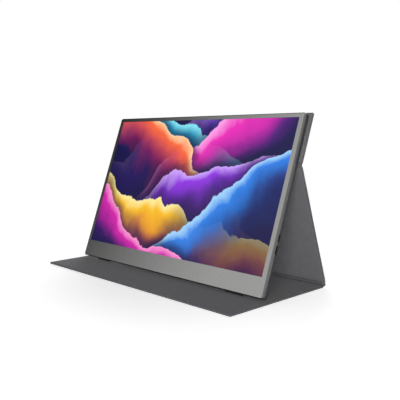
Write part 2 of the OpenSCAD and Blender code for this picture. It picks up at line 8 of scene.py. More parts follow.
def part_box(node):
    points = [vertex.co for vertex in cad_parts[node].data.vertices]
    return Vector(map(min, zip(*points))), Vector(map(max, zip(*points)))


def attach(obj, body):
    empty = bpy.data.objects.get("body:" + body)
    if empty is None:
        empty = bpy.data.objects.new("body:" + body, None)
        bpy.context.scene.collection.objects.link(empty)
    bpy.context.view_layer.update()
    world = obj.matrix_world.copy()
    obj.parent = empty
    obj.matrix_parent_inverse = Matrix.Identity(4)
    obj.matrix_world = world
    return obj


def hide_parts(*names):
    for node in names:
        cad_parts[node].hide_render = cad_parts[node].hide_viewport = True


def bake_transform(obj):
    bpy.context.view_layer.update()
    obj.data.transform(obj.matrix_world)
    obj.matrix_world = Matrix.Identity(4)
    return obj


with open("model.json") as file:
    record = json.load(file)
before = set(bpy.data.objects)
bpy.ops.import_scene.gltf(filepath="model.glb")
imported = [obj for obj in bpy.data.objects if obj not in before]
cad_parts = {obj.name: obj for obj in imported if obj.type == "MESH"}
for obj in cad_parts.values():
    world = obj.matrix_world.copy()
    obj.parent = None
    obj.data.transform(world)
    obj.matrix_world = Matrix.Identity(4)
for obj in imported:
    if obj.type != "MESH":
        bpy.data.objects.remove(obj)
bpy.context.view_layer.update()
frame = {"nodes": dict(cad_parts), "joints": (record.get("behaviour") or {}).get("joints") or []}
scene = bpy.context.scene
nodes = frame["nodes"]
mm = 0.001
weldReach = 1e-6  # points nearer than this become one
waveRepeat = math.pi / 10  # a wave texture of scale 1 repeats after this many metres
print("frame loaded")


def hexToLinear(text):
    values = [int(text[i:i + 2], 16) / 255 for i in (1, 3, 5)]
    return [v / 12.92 if v <= 0.04045 else ((v + 0.055) / 1.055) ** 2.4 for v in values] + [1.0]


def addNode(tree, kind, settings=None, inputs=None, stops=()):
    # one shader node with its settings and links
    node = tree.nodes.new(kind)
    for name, value in (settings or {}).items():
        setattr(node, name, value)
    for key, value in (inputs or {}).items():
        socket = node.inputs[key]
        if isinstance(value, bpy.types.NodeSocket):
            tree.links.new(value, socket)
        else:
            socket.default_value = hexToLinear(value) if isinstance(value, str) else value
    for i, (place, tone) in enumerate(stops):
        if i > 1:
            node.color_ramp.elements.new(place)
        colour = hexToLinear(tone) if isinstance(tone, str) else (tone, tone, tone, 1)
        node.color_ramp.elements[i].position = place
        node.color_ramp.elements[i].color = colour
    return node


def startMaterial(name):  # an empty material, its tree and the place of each point on the piece
    material = bpy.data.materials.new(name)
    material.use_nodes = True
    material.node_tree.nodes.clear()
    tree = material.node_tree
    return material, tree, addNode(tree, "ShaderNodeTexCoord").outputs["Object"]


def finishMaterial(material, surface):  # the shader goes to the material's output
    addNode(material.node_tree, "ShaderNodeOutputMaterial", {}, {"Surface": surface.outputs[0]})
    return material


# the stand in side view: what the frame gives, and the sizes of the cover's cloth
cover = {
    "screenTilt": math.radians(20.1),
    "strutLean": math.radians(19.6),
    "thick": 2.4 * mm,
    "creaseWide": 3.0 * mm,
    "hemWide": 1.2 * mm,
    "skinThick": 0.6 * mm,
    "liningThick": 0.5 * mm,
    "cornerRadius": 2.0 * mm,
    "skinRound": 0.75 * mm,  # how far the coat rounds over the board's outer edge
    "hemRound": 0.55 * mm,  # and where it turns in over the inner edge
    "hemLip": 0.14 * mm,  # the cut end of the hem, pressed down
    "liningGap": 0.06 * mm,  # between the hem and the lining
    # mm in from the lining's edge, and the share of its thickness that is left there
    "napFall": [(0.0, 0.45), (0.08, 0.2), (0.3, 0.06)],
    "cornerSteps": 6, "sheetSteps": 48, "fewestSteps": 6,
}
joints = {j["name"]: j for j in frame["joints"]}
foldAt = Vector(joints["top_fold"]["pos_m"])
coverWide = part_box("flap_skin")[1].x * 2
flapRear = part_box("flap_skin")[1].y
tiltSin, tiltCos = math.sin(cover["screenTilt"]), math.cos(cover["screenTilt"])
leanSin, leanCos = math.sin(cover["strutLean"]), math.cos(cover["strutLean"])


def matrixOf(right, along, outward, origin):  # turns and moves a flat drawing into its place
    columns = [Vector(v) for v in (right, along, outward, origin)]
    return Matrix([[c[i] for c in columns] for i in range(3)] + [[0, 0, 0, 1]])


def hingedPlace(along, outward):  # a panel that starts half a crease away from the fold line
    start = foldAt + Vector(along) * cover["creaseWide"] / 2 - Vector(outward) * cover["thick"] / 2
    return matrixOf((1, 0, 0), along, outward, start)


def panelLength(node, place):  # measured on the CAD piece
    back = place.inverted()
    return max((back @ v.co).y for v in nodes[node].data.vertices)


panels = {
    "attach": {
        "body": "attach_panel",
        "place": hingedPlace((0, tiltSin, tiltCos), (0, tiltCos, -tiltSin))},
    "strut": {
        "body": "strut",
        "place": hingedPlace((0, leanSin, -leanCos), (0, leanCos, leanSin))},
    "flap": {
        "body": "floor_flap",
        "place": matrixOf((1, 0, 0), (0, -1, 0), (0, 0, -1), (0, flapRear, cover["thick"]))},
}
for key, panel in panels.items():
    panel["length"] = panelLength(key + "_skin", panel["place"])


camera = {
    "place": Vector((0.59439, -0.52986, 0.19006)),
    "azimuth": math.radians(45.867),
    "elevation": math.radians(6.258),
    "roll": math.radians(-0.149),
    "lens": 53.03,
    "sensor": 36,
}


def makeCamera():
    az, el, roll = camera["azimuth"], camera["elevation"], camera["roll"]
    ahead = Vector((-math.sin(az) * math.cos(el), math.cos(az) * math.cos(el), -math.sin(el)))
    right = ahead.cross(Vector((0, 0, 1))).normalized()
    up = right.cross(ahead)
    turnedRight = right * math.cos(roll) + up * math.sin(roll)
    turnedUp = up * math.cos(roll) - right * math.sin(roll)
    data = bpy.data.cameras.new("studioCamera")
    data.lens, data.sensor_width = camera["lens"], camera["sensor"]
    data.clip_start, data.clip_end = 0.01, 30
    obj = bpy.data.objects.new("studioCamera", data)
    scene.collection.objects.link(obj)
    obj.matrix_world = matrixOf(turnedRight, turnedUp, -ahead, camera["place"])
    scene.camera = obj


makeCamera()
print("camera placed")


def anodisedAluminium():
    # bead blasted, then anodised dark silver: a soft even sheen that fades with the surroundings
    # grit is really 0.1 mm
    look = {"tone": "#9f9f9e", "fleck": "#949493", "roughness": 0.25, "uneven": 0.04,
            "gritMm": 0.9, "cloudMm": 71.4}
    material, tree, coords = startMaterial("anodisedAluminium")
    grit = addNode(tree, "ShaderNodeTexNoise", {}, {
        "Vector": coords, "Scale": 1 / (look["gritMm"] * mm), "Detail": 4.0, "Roughness": 0.7})
    cloud = addNode(tree, "ShaderNodeTexNoise", {}, {
        "Vector": coords, "Scale": 1 / (look["cloudMm"] * mm), "Detail": 2.0})
    mixed = addNode(tree, "ShaderNodeMix", {"data_type": "FLOAT"}, {
        0: 0.25, 2: grit.outputs["Fac"], 3: cloud.outputs["Fac"]})
    colour = addNode(tree, "ShaderNodeValToRGB", {}, {"Fac": mixed.outputs[0]}, [
        (0.35, look["fleck"]), (0.65, look["tone"])])
    rough = addNode(tree, "ShaderNodeMapRange", {}, {
        0: grit.outputs["Fac"], 1: 0.3, 2: 0.7,
        3: look["roughness"] - look["uneven"], 4: look["roughness"] + look["uneven"]})
    bump = addNode(tree, "ShaderNodeBump", {}, {
        "Strength": 0.06, "Distance": 0.05 * mm, "Height": grit.outputs["Fac"]})
    return finishMaterial(material, addNode(tree, "ShaderNodeBsdfPrincipled", {}, {
        "Base Color": colour.outputs["Color"], "Metallic": 1.0, "Roughness": rough.outputs[0],
        "Normal": bump.outputs["Normal"]}))


def paintedMagnesium():  # cast and sprayed dark grey: satin, with the faint orange peel of thick paint
    look = {"tone": "#47484b", "dark": "#3e3f42", "roughness": 0.42, "peelMm": 2.2, "cloudMm": 45.5}
    material, tree, coords = startMaterial("paintedMagnesium")
    peel = addNode(tree, "ShaderNodeTexNoise", {}, {
        "Vector": coords, "Scale": 1 / (look["peelMm"] * mm), "Detail": 2.0})
    cloud = addNode(tree, "ShaderNodeTexNoise", {}, {
        "Vector": coords, "Scale": 1 / (look["cloudMm"] * mm), "Detail": 3.0})
    colour = addNode(tree, "ShaderNodeValToRGB", {}, {"Fac": cloud.outputs["Fac"]}, [
        (0.35, look["dark"]), (0.65, look["tone"])])
    bump = addNode(tree, "ShaderNodeBump", {}, {
        "Strength": 0.12, "Distance": 0.05 * mm, "Height": peel.outputs["Fac"]})
    return finishMaterial(material, addNode(tree, "ShaderNodeBsdfPrincipled", {}, {
        "Base Color": colour.outputs["Color"], "Metallic": 0.5, "Roughness": look["roughness"],
        "Normal": bump.outputs["Normal"]}))


def polyurethaneLeathercloth():
    # coat on cloth, embossed with pebbles: matt, with a small soft glint on each
    # pebbles are really 0.8 mm
    look = {"tone": "#5c5c60", "valleyShade": "#444448", "roughness": 0.58,
            "pebbleMm": 1.5, "warpMm": 0.6, "bendMm": 2.38, "cloudMm": 33.3}
    material, tree, coords = startMaterial("polyurethaneLeathercloth")
    warp = addNode(tree, "ShaderNodeTexNoise", {}, {
        "Vector": coords, "Scale": 1 / (look["bendMm"] * mm), "Detail": 2.0})
    moved = addNode(tree, "ShaderNodeMix", {"data_type": "VECTOR"}, {
        0: look["warpMm"] * mm, 4: coords, 5: warp.outputs["Color"]})
    pebbles = addNode(tree, "ShaderNodeTexVoronoi", {"feature": "DISTANCE_TO_EDGE"}, {
        "Vector": moved.outputs[1], "Scale": 1 / (look["pebbleMm"] * mm)})
    dome = addNode(tree, "ShaderNodeMapRange", {"interpolation_type": "SMOOTHSTEP"}, {
        0: pebbles.outputs["Distance"], 1: 0.0, 2: 0.22, 3: 0.0, 4: 1.0})
    cloud = addNode(tree, "ShaderNodeTexNoise", {}, {
        "Vector": coords, "Scale": 1 / (look["cloudMm"] * mm), "Detail": 4.0})
    shade = addNode(tree, "ShaderNodeMath", {"operation": "MULTIPLY_ADD"}, {
        0: cloud.outputs["Fac"], 1: 0.35, 2: -0.17})
    level = addNode(tree, "ShaderNodeMath", {"operation": "ADD", "use_clamp": True}, {
        0: dome.outputs[0], 1: shade.outputs[0]})
    # the valleys between the pebbles are painted darker than the domes: painted shade in the recesses
    colour = addNode(tree, "ShaderNodeValToRGB", {}, {"Fac": level.outputs[0]}, [
        (0.0, look["valleyShade"]), (0.7, look["tone"])])
    bump = addNode(tree, "ShaderNodeBump", {}, {
        "Strength": 0.3, "Distance": 0.12 * mm, "Height": dome.outputs[0]})
    return finishMaterial(material, addNode(tree, "ShaderNodeBsdfPrincipled", {}, {
        "Base Color": colour.outputs["Color"], "Roughness": look["roughness"], "IOR": 1.5,
        "Normal": bump.outputs["Normal"]}))


def brushedMicrofibre():
    # split polyester brushed to a short nap: no gloss, soft cloudy patches where it lies over
    # fibres are really 0.01 mm
    look = {"tone": "#68686b", "brushed": "#5e5e61", "napMm": 9.0, "fibreMm": 1.2}
    material, tree, coords = startMaterial("brushedMicrofibre")
    nap = addNode(tree, "ShaderNodeTexNoise", {}, {
        "Vector": coords, "Scale": 1 / (look["napMm"] * mm), "Detail": 5.0,
        "Roughness": 0.6, "Distortion": 0.6})
    fibre = addNode(tree, "ShaderNodeTexNoise", {}, {
        "Vector": coords, "Scale": 1 / (look["fibreMm"] * mm), "Detail": 3.0, "Roughness": 0.8})
    level = addNode(tree, "ShaderNodeMix", {"data_type": "FLOAT"}, {
        0: 0.5, 2: nap.outputs["Fac"], 3: fibre.outputs["Fac"]})
    colour = addNode(tree, "ShaderNodeValToRGB", {}, {"Fac": level.outputs[0]}, [
        (0.35, look["brushed"]), (0.65, look["tone"])])
    bump = addNode(tree, "ShaderNodeBump", {}, {
        "Strength": 0.25, "Distance": 0.1 * mm, "Height": fibre.outputs["Fac"]})
    return finishMaterial(material, addNode(tree, "ShaderNodeBsdfPrincipled", {}, {
        "Base Color": colour.outputs["Color"], "Roughness": 0.95, "IOR": 1.45,
        "Specular IOR Level": 0.15, "Sheen Weight": 0.1, "Sheen Roughness": 0.5,
        "Normal": bump.outputs["Normal"]}))


def litPanelGlass():
    # lit liquid crystals under hard-coated glass: full colours, and only a faint reflection
    look = {
        "strength": 1.0, "roughness": 0.25, "ground": "#171247", "middleMm": 117,
        "bendMm": 105, "swayMm": 95, "foldMm": 30, "shadeMm": 26, "shadeDepth": 0.75, "foldSeed": 2.7,
        # veils from the back to the front: turn, height and depth in mm, then crest, body and deep tone
        "veils": [
            (22, 92, 120, "#c79bff", "#6f35dc", "#2a1978"),
            (-20, 76, 90, "#8df0ff", "#1cadd8", "#123f9c"),
            (36, 48, 84, "#ffa8ee", "#f22dbc", "#7a1592"),
            (-32, 36, 78, "#ffd9a6", "#ff6c3a", "#b41d5c"),
            (14, 8, 76, "#d3abff", "#9136e6", "#351a8a"),
            (-10, -26, 62, "#fff2a4", "#ffc41c", "#e2521f"),
            (32, -48, 72, "#a9dcff", "#2e83ea", "#142f76"),
            (-24, -82, 66, "#ff9ad6", "#d423ac", "#4a1474")],
    }
    material, tree, coords = startMaterial("litPanelGlass")
    flat = addNode(tree, "ShaderNodeMapping", {}, {
        "Vector": coords, "Rotation": (cover["screenTilt"], 0, 0),
        "Location": (0, 0, -look["middleMm"] * mm)})
    sway = addNode(tree, "ShaderNodeTexNoise", {}, {
        "Vector": flat.outputs[0], "Scale": 1 / (look["bendMm"] * mm), "Detail": 1.0})
    bent = addNode(tree, "ShaderNodeVectorMath", {"operation": "MULTIPLY_ADD"}, {
        0: sway.outputs["Color"], 1: (look["swayMm"] * mm, 0, look["swayMm"] * mm), 2: flat.outputs[0]})
    middle = -look["swayMm"] * mm / 2
    picture = look["ground"]
    for i, (turn, up, deep, *tones) in enumerate(look["veils"]):
        turnSin, turnCos = math.sin(math.radians(turn)), math.cos(math.radians(turn))
        height = addNode(tree, "ShaderNodeVectorMath", {"operation": "DOT_PRODUCT"}, {
            0: bent.outputs[0], 1: (-turnSin, 0, turnCos)})
        folds = addNode(tree, "ShaderNodeTexNoise", {"noise_dimensions": "4D"}, {
            "Vector": bent.outputs[0], "W": i * look["foldSeed"],
            "Scale": 1 / (look["foldMm"] * mm), "Detail": 4.0})
        wavy = addNode(tree, "ShaderNodeMath", {"operation": "MULTIPLY_ADD"}, {
            0: folds.outputs["Fac"], 1: look["foldMm"] * mm, 2: height.outputs["Value"]})
        crest = (turnCos - turnSin) * -middle + (up + look["foldMm"] / 2) * mm
        shade = addNode(tree, "ShaderNodeMapRange", {"interpolation_type": "SMOOTHSTEP"}, {
            0: wavy.outputs[0], 1: crest + look["shadeMm"] * mm, 2: crest,
            3: 0.0, 4: look["shadeDepth"]})
        behind = addNode(tree, "ShaderNodeMix", {"data_type": "RGBA"}, {
            0: shade.outputs[0], 6: picture, 7: look["ground"]})
        depth = addNode(tree, "ShaderNodeMapRange", {}, {
            0: wavy.outputs[0], 1: crest, 2: crest - deep * mm})
        stops = list(zip((0.0, 0.2, 0.8), tones))
        colour = addNode(tree, "ShaderNodeValToRGB", {}, {"Fac": depth.outputs[0]}, stops)
        cloth = addNode(tree, "ShaderNodeValToRGB", {}, {"Fac": depth.outputs[0]}, [
            (0.0, 0.0), (0.015, 1.0), (0.45, 0.9), (1.0, 0.0)])
        picture = addNode(tree, "ShaderNodeMix", {"data_type": "RGBA"}, {
            0: cloth.outputs["Color"], 6: behind.outputs[2], 7: colour.outputs["Color"]}).outputs[2]
    return finishMaterial(material, addNode(tree, "ShaderNodeBsdfPrincipled", {}, {
        "Base Color": "#050507", "Roughness": look["roughness"], "IOR": 1.45, "Specular IOR Level": 0.2,
        "Emission Color": picture, "Emission Strength": look["strength"]}))


def closedCellFoam():  # foam tape with its moulded skin: dull black, finely pitted
    look = {"pitShade": "#0c0c0d", "tone": "#1b1b1d", "cellMm": 0.556}
    material, tree, coords = startMaterial("closedCellFoam")
    cells = addNode(tree, "ShaderNodeTexVoronoi", {}, {
        "Vector": coords, "Scale": 1 / (look["cellMm"] * mm)})
    # each pit is painted darker: painted shade in the holes of the skin
    colour = addNode(tree, "ShaderNodeValToRGB", {}, {"Fac": cells.outputs["Distance"]}, [
        (0.0, look["pitShade"]), (0.8, look["tone"])])
    return finishMaterial(material, addNode(tree, "ShaderNodeBsdfPrincipled", {}, {
        "Base Color": colour.outputs["Color"], "Roughness": 0.9}))


def calenderedFilm():  # rolled polyester film: milky white, slightly pearly
    look = {"tone": "#f4f6f6", "haze": "#e6e9ea", "hazeMm": 25}
    material, tree, coords = startMaterial("calenderedFilm")
    haze = addNode(tree, "ShaderNodeTexNoise", {}, {
        "Vector": coords, "Scale": 1 / (look["hazeMm"] * mm), "Detail": 2.0})
    colour = addNode(tree, "ShaderNodeValToRGB", {}, {"Fac": haze.outputs["Fac"]}, [
        (0.3, look["haze"]), (0.7, look["tone"])])
    return finishMaterial(material, addNode(tree, "ShaderNodeBsdfPrincipled", {}, {
        "Base Color": colour.outputs["Color"], "Roughness": 0.35, "IOR": 1.6}))


def castAcrylic():  # light guide with printed dots: clear and pale, with rows of white
    look = {"dot": "#ffffff", "tone": "#d6e4ea", "dotMm": 2.0}
    material, tree, coords = startMaterial("castAcrylic")
    dots = addNode(tree, "ShaderNodeTexVoronoi", {}, {
        "Vector": coords, "Scale": 1 / (look["dotMm"] * mm), "Randomness": 0.0})
    colour = addNode(tree, "ShaderNodeValToRGB", {}, {"Fac": dots.outputs["Distance"]}, [
        (0.2, look["dot"]), (0.3, look["tone"])])
    return finishMaterial(material, addNode(tree, "ShaderNodeBsdfPrincipled", {}, {
        "Base Color": colour.outputs["Color"], "Roughness": 0.08, "IOR": 1.49}))


def phosphorLampStrip():  # white solder mask with phosphor lamps: a pale strip with yellow squares
    look = {"mask": "#efeee6", "lamp": "#e8c93f", "pitchMm": 8.1}
    material, tree, coords = startMaterial("phosphorLampStrip")
    marks = addNode(tree, "ShaderNodeTexWave", {"bands_direction": "X"}, {
        "Vector": coords, "Scale": waveRepeat / (look["pitchMm"] * mm)})
    colour = addNode(tree, "ShaderNodeValToRGB", {}, {"Fac": marks.outputs["Fac"]}, [
        (0.55, look["mask"]), (0.65, look["lamp"])])
    return finishMaterial(material, addNode(tree, "ShaderNodeBsdfPrincipled", {}, {
        "Base Color": colour.outputs["Color"], "Roughness": 0.4}))


def tinPlatedSteel():  # plated sheet drawn in a press: bright, with fine lines along the draw
    look = {"tone": "#b9bbbd", "line": "#8f9193", "lineMm": 0.5, "drawn": 0.08}  # lines run along X
    material, tree, coords = startMaterial("tinPlatedSteel")
    stretched = addNode(tree, "ShaderNodeMapping", {}, {
        "Vector": coords, "Scale": (look["drawn"], 1, 1)})
    lines = addNode(tree, "ShaderNodeTexNoise", {}, {
        "Vector": stretched.outputs[0], "Scale": 1 / (look["lineMm"] * mm), "Detail": 3.0})
    colour = addNode(tree, "ShaderNodeValToRGB", {}, {"Fac": lines.outputs["Fac"]}, [
        (0.35, look["line"]), (0.65, look["tone"])])
    rough = addNode(tree, "ShaderNodeMapRange", {}, {0: lines.outputs["Fac"], 3: 0.2, 4: 0.38})
    return finishMaterial(material, addNode(tree, "ShaderNodeBsdfPrincipled", {}, {
        "Base Color": colour.outputs["Color"], "Metallic": 1.0, "Roughness": rough.outputs[0]}))


def greenSolderMask():  # etched copper under green mask: glossy, with paler lines where copper runs
    # a row of the brick pattern is a quarter of its scale high
    look = {"mask": "#0f4a2f", "track": "#1c6b46", "trackMm": 1.6,
            "rowHeight": 0.25, "trackShare": 0.03}
    material, tree, coords = startMaterial("greenSolderMask")
    tracks = addNode(tree, "ShaderNodeTexBrick", {"offset": 0.5}, {
        "Vector": coords, "Color1": look["mask"], "Color2": look["mask"], "Mortar": look["track"],
        "Scale": look["rowHeight"] / (look["trackMm"] * mm), "Mortar Size": look["trackShare"]})
    return finishMaterial(material, addNode(tree, "ShaderNodeBsdfPrincipled", {}, {
        "Base Color": tracks.outputs["Color"], "Roughness": 0.3, "Coat Weight": 0.4}))


def mouldedResin():
    # glass-filled black resin, moulded with a light spark finish: even and slightly grainy
    look = {"tone": "#1f2022", "low": "#17181a", "grainMm": 0.6}
    material, tree, coords = startMaterial("mouldedResin")
    spark = addNode(tree, "ShaderNodeTexNoise", {}, {
        "Vector": coords, "Scale": 1 / (look["grainMm"] * mm), "Detail": 3.0})
    colour = addNode(tree, "ShaderNodeValToRGB", {}, {"Fac": spark.outputs["Fac"]}, [
        (0.3, look["low"]), (0.7, look["tone"])])
    bump = addNode(tree, "ShaderNodeBump", {}, {
        "Strength": 0.2, "Distance": 0.03 * mm, "Height": spark.outputs["Fac"]})
    return finishMaterial(material, addNode(tree, "ShaderNodeBsdfPrincipled", {}, {
        "Base Color": colour.outputs["Color"], "Roughness": 0.55, "Normal": bump.outputs["Normal"]}))


def satinPaintedAbs():  # moulded caps, painted to match the shell: satin grey
    look = {"tone": "#626366", "low": "#58595c", "grainMm": 0.5}
    material, tree, coords = startMaterial("satinPaintedAbs")
    grain = addNode(tree, "ShaderNodeTexNoise", {}, {
        "Vector": coords, "Scale": 1 / (look["grainMm"] * mm), "Detail": 3.0})
    colour = addNode(tree, "ShaderNodeValToRGB", {}, {"Fac": grain.outputs["Fac"]}, [
        (0.3, look["low"]), (0.7, look["tone"])])
    return finishMaterial(material, addNode(tree, "ShaderNodeBsdfPrincipled", {}, {
        "Base Color": colour.outputs["Color"], "Roughness": 0.4, "Coat Weight": 0.1}))


def polyimideFilm():  # film over copper: amber, with darker lines along the ribbon
    look = {"line": "#9a5f1d", "film": "#c98a34", "lineMm": 1.0}
    material, tree, coords = startMaterial("polyimideFilm")
    lines = addNode(tree, "ShaderNodeTexWave", {"bands_direction": "X"}, {
        "Vector": coords, "Scale": waveRepeat / (look["lineMm"] * mm)})
    colour = addNode(tree, "ShaderNodeValToRGB", {}, {"Fac": lines.outputs["Fac"]}, [
        (0.4, look["line"]), (0.6, look["film"])])
    return finishMaterial(material, addNode(tree, "ShaderNodeBsdfPrincipled", {}, {
        "Base Color": colour.outputs["Color"], "Roughness": 0.25, "IOR": 1.7}))


def nickelPlate():  # nickel over sintered magnet: bright grey, a little cloudy
    look = {"tone": "#b4b3ae", "cloudMm": 4}
    material, tree, coords = startMaterial("nickelPlate")
    cloud = addNode(tree, "ShaderNodeTexNoise", {}, {
        "Vector": coords, "Scale": 1 / (look["cloudMm"] * mm), "Detail": 3.0})
    rough = addNode(tree, "ShaderNodeMapRange", {}, {0: cloud.outputs["Fac"], 3: 0.12, 4: 0.32})
    return finishMaterial(material, addNode(tree, "ShaderNodeBsdfPrincipled", {}, {
        "Base Color": look["tone"], "Metallic": 1.0, "Roughness": rough.outputs[0]}))


def siliconeRubber():  # moulded feet: dull black that picks up a little dust
    look = {"tone": "#161617", "dust": "#29292a", "dustMm": 2.0}
    material, tree, coords = startMaterial("siliconeRubber")
    dust = addNode(tree, "ShaderNodeTexNoise", {}, {
        "Vector": coords, "Scale": 1 / (look["dustMm"] * mm), "Detail": 5.0})
    colour = addNode(tree, "ShaderNodeValToRGB", {}, {"Fac": dust.outputs["Fac"]}, [
        (0.5, look["tone"]), (0.8, look["dust"])])
    return finishMaterial(material, addNode(tree, "ShaderNodeBsdfPrincipled", {}, {
        "Base Color": colour.outputs["Color"], "Roughness": 0.75, "IOR": 1.41}))


def pressedGreyboard():  # pressed from recycled paper: brown grey with specks
    look = {"low": "#75695a", "tone": "#95897a", "speck": "#a79c8d", "speckMm": 1.1}
    material, tree, coords = startMaterial("pressedGreyboard")
    specks = addNode(tree, "ShaderNodeTexNoise", {}, {
        "Vector": coords, "Scale": 1 / (look["speckMm"] * mm), "Detail": 4.0})
    colour = addNode(tree, "ShaderNodeValToRGB", {}, {"Fac": specks.outputs["Fac"]}, [
        (0.3, look["low"]), (0.55, look["tone"]), (0.75, look["speck"])])
    return finishMaterial(material, addNode(tree, "ShaderNodeBsdfPrincipled", {}, {
        "Base Color": colour.outputs["Color"], "Roughness": 0.9}))


finishes = {}  # by the name of the function that makes it
nodeFinish = {
    anodisedAluminium: ["front_frame"],
    paintedMagnesium: ["rear_shell"],
    polyurethaneLeathercloth: [],
    brushedMicrofibre: [],
    litPanelGlass: ["lcd_glass"],
    closedCellFoam: ["screen_gasket"],
    calenderedFilm: ["diffuser_films", "reflector_sheet"],
    castAcrylic: ["light_guide"],
    phosphorLampStrip: ["led_strip"],
    tinPlatedSteel: ["panel_chassis", "board_screws", "usb_c_socket", "mini_hdmi_socket"],
    greenSolderMask: ["panel_board", "main_board", "button_board"],
    mouldedResin: ["board_chips", "headphone_jack", "tact_switches", "left_speaker", "right_speaker"],
    satinPaintedAbs: ["power_button", "menu_rocker"],
    polyimideFilm: ["display_ribbon", "button_ribbon"],
    nickelPlate: ["catch_magnets", "attach_magnets"],
    siliconeRubber: ["rubber_feet"],
    pressedGreyboard: ["attach_board", "strut_board", "flap_board"],
}
for makeFinish, itsNodes in nodeFinish.items():
    finish = makeFinish()
    finishes[makeFinish.__name__] = finish
    for nodeName in itsNodes:
        nodes[nodeName].data.materials.clear()
        nodes[nodeName].data.materials.append(finish)
nodes["lcd_glass"].visible_diffuse = False  # the photograph shows no glow of the picture on the cover
print("finishes made")


def addMesh(name, bm, materials, body=None):  # an object from a drawn mesh, which rides on its body
    bmesh.ops.recalc_face_normals(bm, faces=bm.faces)
    data = bpy.data.meshes.new(name)
    bm.to_mesh(data)
    bm.free()
    obj = bpy.data.objects.new(name, data)
    scene.collection.objects.link(obj)
    for material in materials:
        data.materials.append(material)
    if body:
        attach(obj, body)
    return obj


def panelSheet(name, panel, profile, material):
    # profile is (inset from the panel's outline, depth) from face to face
    wide, length, place, radius = coverWide, panel["length"], panel["place"], cover["cornerRadius"]
    across, arc = cover["sheetSteps"], cover["cornerSteps"]
    down = max(cover["fewestSteps"], round(length / wide * across))
    half, tall = wide / 2 - radius, length / 2 - radius
    # side in X, side in Y and the angle where the arc ends
    corners = [(1, -1, 0), (1, 1, 90), (-1, 1, 180), (-1, -1, 270)]
    bm = bmesh.new()

    def ringAt(inset, depth):
        spots, r = [], radius - inset
        for k, (sideX, sideY, endAngle) in enumerate(corners):
            for i in range(arc + 1):
                a = math.radians(endAngle - 90 + 90 * i / arc)
                spots.append((sideX * half + r * math.cos(a), sideY * tall + r * math.sin(a)))
            nextX, nextY, _ = corners[(k + 1) % 4]
            steps = across if k % 2 else down
            a = math.radians(endAngle)
            for i in range(1, steps):
                x = (sideX + (nextX - sideX) * i / steps) * half + r * math.cos(a)
                spots.append((x, (sideY + (nextY - sideY) * i / steps) * tall + r * math.sin(a)))
        return [bm.verts.new(place @ Vector((x, y + length / 2, depth))) for x, y in spots]

    def gridAt(depth):
        rows = [[bm.verts.new(place @ Vector((
            half * (2 * i / across - 1), length / 2 + tall * (2 * j / down - 1), depth)))
            for i in range(across + 1)] for j in range(down + 1)]
        for low, high in zip(rows, rows[1:]):
            for i in range(across):
                bm.faces.new((low[i], low[i + 1], high[i + 1], high[i]))

    rings = [ringAt(inset, depth) for inset, depth in profile]
    for a, b in zip(rings, rings[1:]):
        for i in range(len(a)):
            j = (i + 1) % len(a)
            bm.faces.new((a[i], a[j], b[j], b[i]))
    gridAt(profile[0][1])
    gridAt(profile[-1][1])
    bmesh.ops.remove_doubles(bm, verts=bm.verts, dist=weldReach)
    for face in bm.faces:
        face.smooth = True
    return addMesh(name, bm, [material], panel["body"])


def quarter(radius, centre, fromAngle, toAngle, steps=5):  # a quarter round of a profile
    turns = [math.radians(fromAngle + (toAngle - fromAngle) * i / steps) for i in range(steps + 1)]
    return [(centre[0] + radius * math.cos(a), centre[1] + radius * math.sin(a)) for a in turns]


def coverPanel(key):  # the coat turned in over the board's edge, and the lining set inside its hem
    panel = panels[key]
    thick, hem, corner, lip = cover["thick"], cover["hemWide"], cover["cornerRadius"], cover["hemLip"]
    outer, inner, inside = cover["skinRound"], cover["hemRound"], thick - cover["skinThick"]
    coat = [(corner, thick)]
    coat += quarter(outer, (outer, thick - outer), 90, 180)
    coat += quarter(inner, (inner, inner), 180, 270)
    coat += [(hem - lip, 0.0), (hem - lip / 4, lip / 3), (hem, lip), (hem, inside), (corner, inside)]
    skin = panelSheet(key + "Leathercloth", panel, coat, finishes["polyurethaneLeathercloth"])
    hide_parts(key + "_skin")
    edge, full = hem + cover["liningGap"], cover["liningThick"]
    nap = [(corner, full), (edge, full)]
    nap += [(edge + inwards * mm, full * share) for inwards, share in cover["napFall"]]
    nap += [(corner, 0.0)]
    lining = panelSheet(key + "Microfibre", panel, nap, finishes["brushedMicrofibre"])
    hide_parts(key + "_lining")


for key in panels:
    coverPanel(key)
print("cover panels made")


strip = {
    "narrower": 0.1 * mm,  # than the cover
    "roundedEnd": 0.6 * mm,
    "half": 0.55 * mm,  # half the thickness of the gusset, and of the crease in its middle
    "creaseHalf": 1.1 * mm,  # and at the crease's two ends
    "bury": 0.35 * mm,  # how far the crease goes into the panels
    "acrossSteps": 60,
}
gusset = {
    "tuck": 0.2 * mm,  # into the strut's foot
    "hang": 3.4 * mm,  # how far it aims down from there
    "overlap": 0.3 * mm,  # into the flap's end
    "height": 1.35 * mm,
    "run": 3.5 * mm,  # how far it aims straight out of the flap
    "heldSpots": 5,  # these first spots on the flap's side
}


def curvedWay(a, b, c, d, steps=24):  # leaves a towards b and comes into d from c
    ts = [i / steps for i in range(steps + 1)]
    return [a * (1 - t) ** 3 + b * 3 * t * (1 - t) ** 2 + c * 3 * t * t * (1 - t) + d * t ** 3
            for t in ts]


